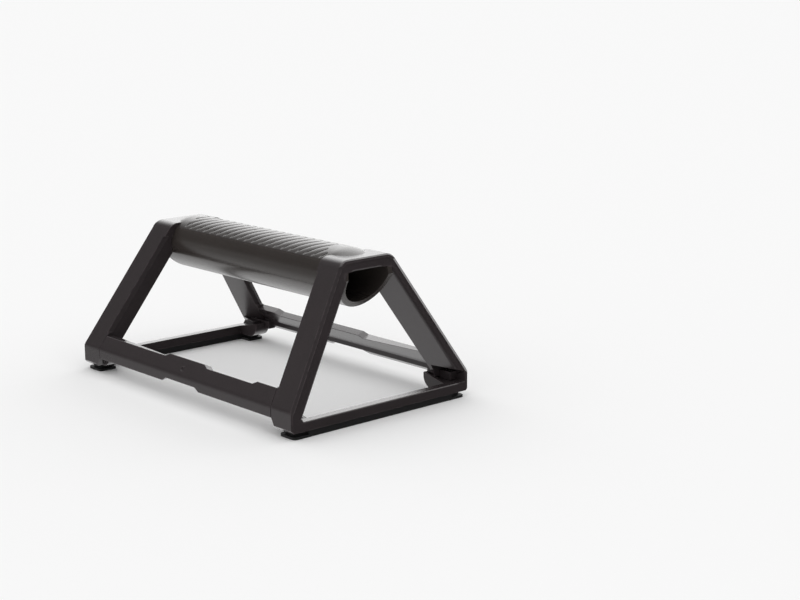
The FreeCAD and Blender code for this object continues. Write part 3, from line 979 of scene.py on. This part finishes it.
@dataclass(frozen=True)
class ScrewSet:
    """Alike flat-head screws driven upwards, with a hexagon drive and a rolled thread."""

    part: Part
    places: FlatPoints
    seat_z: float
    length: float = 8.4
    radius: float = 1.6
    head_radius: float = 3.0
    head_height: float = 2.2
    drive_radius: float = 1.2
    drive_depth: float = 1.2
    thread_height: float = 0.25
    thread_pitch: float = 1.1
    thread_margin: float = 2.0
    thread_steps: int = 20
    ridge_sides: int = 4
    head_sides: int = 32
    core_sides: int = 24
    drive_sides: int = 6
    core_root: float = 0.5
    overrun: float = 0.5

    def build(self) -> bpy.types.Object:
        """Sets one screw on each place.

        Returns:
            The dressed screws, which stand for their node.
        """
        sizes = {
            "Length": self.length,
            "Core Radius": self.radius - self.thread_height,
            "Head Radius": self.head_radius,
            "Head Height": self.head_height,
            "Drive Radius": self.drive_radius,
            "Drive Depth": self.drive_depth,
            "Thread Height": self.thread_height,
            "Turns": (self.length - 2 * self.thread_margin * self.thread_height) / self.thread_pitch,
        }
        net = GeometryTree(self.part.value + "_set", sizes)
        joined = net.add("JoinGeometry", {})
        for shape in (self._thread(net), self._blank(net)):
            net.tree.links.new(shape.socket, joined.inputs[0])
        points = net.first("MeshToPoints", {"Mesh": net.size("Geometry")})
        screw = Value(net.tree, joined.outputs[0])
        screws = net.first("InstanceOnPoints", {"Points": points, "Instance": screw})
        places = [(x, y, self.seat_z) for x, y in self.places]
        piece = net.build(self.part.value + "_threaded", screws, SCREW_FINISH, places)
        return place_piece(piece, Slot.SCREW, self.part)

    @staticmethod
    def _drum(net: GeometryTree, sides: int, radius: Value, low: Value, high: "Value | float") -> Value:
        """An upright prism between two heights.

        Args:
            net: the tree.
            sides: how many sides it has.
            radius: to its corners.
            low: its lower end.
            high: its upper end.

        Returns:
            Its mesh.
        """
        tall = high - low if isinstance(high, Value) else low * -1.0 + high
        drum = net.first("MeshCylinder", {"Vertices": sides, "Radius": radius, "Depth": tall})
        middle = net.vector(0.0, 0.0, tall * 0.5 + low)
        return net.first("Transform", {"Geometry": drum, "Translation": middle})

    def _blank(self, net: GeometryTree) -> Value:
        """The screw without its thread: head, core and the hexagon let into the head.

        Args:
            net: the tree.

        Returns:
            Its mesh.
        """
        low = net.size("Head Height") * -1.0
        drive_top = low + net.size("Drive Depth")
        head = self._drum(net, self.head_sides, net.size("Head Radius"), low, 0.0)
        core = self._drum(
            net, self.core_sides, net.size("Core Radius"), low * self.core_root, net.size("Length")
        )
        drive = self._drum(
            net, self.drive_sides, net.size("Drive Radius"), low - self.overrun, drive_top
        )
        solid = net.add("MeshBoolean", {}, operation="UNION", solver="EXACT")
        for shape in (head, core):
            net.tree.links.new(shape.socket, solid.inputs["Mesh 2"])
        blank = Value(net.tree, solid.outputs[0])
        cut = net.add("MeshBoolean", {"Mesh 1": blank}, operation="DIFFERENCE", solver="EXACT")
        net.tree.links.new(drive.socket, cut.inputs["Mesh 2"])
        return Value(net.tree, cut.outputs[0])

    def _thread(self, net: GeometryTree) -> Value:
        """The thread's ridge, wound round the core.

        Args:
            net: the tree.

        Returns:
            Its mesh.
        """
        ridge = net.size("Thread Height")
        rise = net.size("Length") - ridge * (2 * self.thread_margin)
        radius = net.size("Core Radius")
        spiral = net.first("CurveSpiral", {
            "Resolution": self.thread_steps, "Rotations": net.size("Turns"), "Start Radius": radius,
            "End Radius": radius, "Height": rise,
        })
        section = net.first("CurvePrimitiveCircle", {"Resolution": self.ridge_sides, "Radius": ridge})
        wound = net.first("CurveToMesh", {"Curve": spiral, "Profile Curve": section, "Fill Caps": True})
        start = net.vector(0.0, 0.0, ridge * self.thread_margin)
        return net.first("Transform", {"Geometry": wound, "Translation": start})


@dataclass(frozen=True)
class RoomLight:
    """The room's light by direction: what plain surfaces get, and what glossy ones mirror.

    The light changes over a span of a direction's X, Y or Z. Of two levels, the first holds at the
    span's end and the second at its start.
    """

    backdrop: float = 0.913
    light: float = 0.8
    back_x: float = -0.74
    back_y: float = 0.67
    back_span: Span = (-0.3, 0.7)
    back_levels: Span = (1.35, 0.9)
    right_span: Span = (0.1, 0.8)
    right_level: float = 0.3
    high_span: Span = (0.1, 0.95)
    high_level: float = 1.5
    patch_span: Span = (-0.1, 0.5)
    patch_top_span: Span = (0.75, 0.95)
    patch_side_span: Span = (0.7, 0.0)
    patch_rise_span: Span = (0.2, 0.65)
    patch_levels: Span = (4.6, 2.8)
    dark_levels: Span = (0.3, 0.06)
    low_span: Span = (-0.1, -0.7)
    low_levels: Span = (1.8, 0.4)
    low_side_span: Span = (0.5, 0.1)
    horizon_span: Span = (-0.05, 0.05)

    def build(self) -> None:
        """Makes the room the scene's world, plain white where the camera sees it."""
        world = bpy.data.worlds.new("studio")
        bpy.context.scene.world = world
        world.use_nodes = True
        tree = world.node_tree
        tree.nodes.clear()
        result = tree.nodes.new("ShaderNodeOutputWorld")
        place = tree.nodes.new("ShaderNodeTexCoord")
        split = tree.nodes.new("ShaderNodeSeparateXYZ")
        tree.links.new(place.outputs["Generated"], split.inputs[0])
        x, y, z = (Value(tree, out) for out in split.outputs)
        path = tree.nodes.new("ShaderNodeLightPath")
        seen, glossy, through = (
            Value(tree, path.outputs[kind])
            for kind in ("Is Camera Ray", "Is Glossy Ray", "Is Transmission Ray")
        )
        level = glossy.math("MAXIMUM", through).pick(self._mirrored(x, y, z), self._soft(x, y, z))
        glow = tree.nodes.new("ShaderNodeBackground")
        glow.inputs["Color"].default_value = (1.0, 1.0, 1.0, 1.0)
        feed(tree, seen.pick(self.backdrop, level * self.light), glow.inputs["Strength"])
        tree.links.new(glow.outputs[0], result.inputs["Surface"])

    def _soft(self, x: Value, y: Value, z: Value) -> Value:
        """The light on plain surfaces: brighter from behind and above, and dim from the right.

        Args:
            x: the direction's part along X.
            y: along Y.
            z: and along Z.

        Returns:
            The level.
        """
        back = y * self.back_y + x * self.back_x
        level = back.ramp(*self.back_span).pick(*self.back_levels)
        level = x.ramp(*self.right_span).pick(self.right_level, level)
        return z.ramp(*self.high_span).pick(self.high_level, level)

    def _mirrored(self, x: Value, y: Value, z: Value) -> Value:
        """What glossy surfaces mirror: a bright patch behind and overhead, and the pale floor below.

        Args:
            x: the direction's part along X.
            y: along Y.
            z: and along Z.

        Returns:
            The level.
        """
        patch = y.ramp(*self.patch_span).math("MAXIMUM", z.ramp(*self.patch_top_span))
        patch = patch * x.ramp(*self.patch_side_span)
        bright = z.ramp(*self.patch_rise_span).pick(*self.patch_levels)
        above = patch.pick(bright, z.ramp(*self.high_span).pick(*self.dark_levels))
        below = z.ramp(*self.low_span).pick(*self.low_levels) * x.ramp(*self.low_side_span)
        return z.ramp(*self.horizon_span).pick(above, below)


@dataclass(frozen=True)
class Studio:
    """The plain pale floor, the soft light and the camera."""

    eye_mm: Point = (836.13, -645.07, 291.64)
    target_mm: Point = (-146.5, 252.2, -5.8)
    lens_mm: float = 72.756
    sensor_mm: float = 36.0
    nearest: float = 0.01
    farthest: float = 200.0
    floor_half: float = 30.0
    floor_colour: Colour = (0.90, 0.90, 0.90)
    floor_roughness: float = 0.9
    room: RoomLight = RoomLight()

    def build(self) -> None:
        """Sets up everything around the object."""
        self.camera()
        self.floor()
        self.room.build()
        bpy.context.scene.view_settings.view_transform = "Standard"

    def camera(self) -> None:
        """Puts the camera at the photograph's angle."""
        data = bpy.data.cameras.new("camera")
        data.sensor_fit = "HORIZONTAL"
        data.sensor_width = self.sensor_mm
        data.lens = self.lens_mm
        data.clip_start = self.nearest
        data.clip_end = self.farthest
        made = bpy.data.objects.new("camera", data)
        eye = Vector(self.eye_mm) * MM
        look = Vector(self.target_mm) * MM - eye
        made.matrix_world = Matrix.Translation(eye) @ look.to_track_quat("-Z", "Y").to_matrix().to_4x4()
        bpy.context.scene.collection.objects.link(made)
        bpy.context.scene.camera = made

    def floor(self) -> None:
        """Lays the floor under the pads."""
        mesh = bpy.data.meshes.new("floor")
        half = self.floor_half
        corners = [(-half, -half, 0.0), (half, -half, 0.0), (half, half, 0.0), (-half, half, 0.0)]
        mesh.from_pydata(corners, [], [(0, 1, 2, 3)])
        made = bpy.data.materials.new("studio_floor")
        made.use_nodes = True
        shader = made.node_tree.nodes["Principled BSDF"]
        shader.inputs["Base Color"].default_value = (*self.floor_colour, 1.0)
        shader.inputs["Roughness"].default_value = self.floor_roughness
        shader.inputs["Specular IOR Level"].default_value = 0.0
        mesh.materials.append(made)
        ground = show_mesh("floor", mesh)
        ground.visible_glossy = False


def main() -> None:
    """Builds the parallette bar's pieces and the studio around them."""
    logging.basicConfig(level=logging.INFO, format="%(name)s %(message)s")
    shells = [
        EndFrame(Part.RIGHT_FRAME, Slot.FRAME, FRAME_FINISH, edge_mm=0.12),
        EndFrame(Part.LEFT_FRAME, Slot.FRAME, FRAME_FINISH, edge_mm=0.12, turn=-1),
        SideRail(Part.FRONT_RAIL, Slot.RAIL, FRAME_FINISH, edge_mm=0.3),
        SideRail(Part.REAR_RAIL, Slot.RAIL, FRAME_FINISH, edge_mm=0.3, turn=-1),
        MouldedShell(Part.RIGHT_PAD, Slot.PAD, PAD_FINISH, edge_mm=0.08),
        MouldedShell(Part.LEFT_PAD, Slot.PAD, PAD_FINISH, edge_mm=0.08),
        MouldedShell(Part.TUBE, Slot.GRIP, TUBE_FINISH, edge_mm=0.15),
    ]
    for shell in shells:
        shell.build()
    GripCover().build()
    ScrewSet(Part.GRIP_SCREWS, GRIP_SCREW_PLACES, GRIP_SCREW_SEAT).build()
    ScrewSet(Part.RAIL_SCREWS, RAIL_SCREW_PLACES, RAIL_SCREW_SEAT).build()
    Studio().build()


if __name__ == "__main__":
    main()
